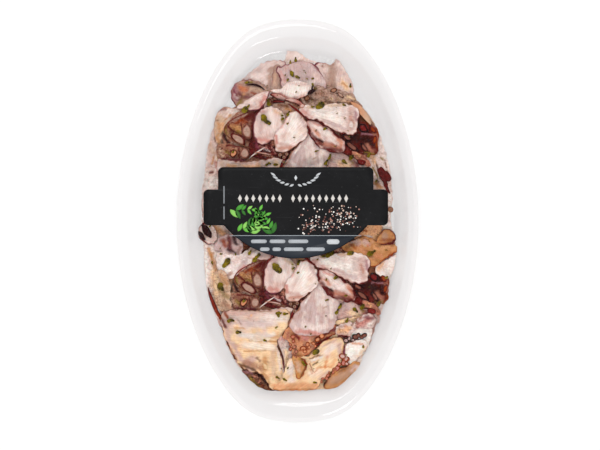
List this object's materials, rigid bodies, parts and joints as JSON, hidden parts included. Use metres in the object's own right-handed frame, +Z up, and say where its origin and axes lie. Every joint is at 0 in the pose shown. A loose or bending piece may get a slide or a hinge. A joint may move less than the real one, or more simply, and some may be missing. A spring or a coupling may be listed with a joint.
{
  "type": "tray of sliced cooked octopus",
  "caption": "Sealed clear oval tray of thinly sliced cooked octopus with herbs and oil, under a lid film with a plain dark label.",
  "frame": {"origin": "middle of the underside of the tray", "axes": "+Y along the tray's length towards its round end, +Z up through the film, +X to the right of the label"},
  "size_m": [0.126, 0.21, 0.0175],
  "materials": {
    "tray_plastic": "clear thermoformed plastic, slightly hazy, glossy",
    "octopus": "moist cooked flesh, pale inside with a purple brown skin edge, glossy with oil",
    "film": "clear taut lidding film",
    "label_print": "satin dark printed label"
  },
  "bodies": {
    "root": {"tray": "tray_plastic", "octopus_slices": "octopus", "lid_film": "film", "label": "label_print"}
  },
  "joints": []
}
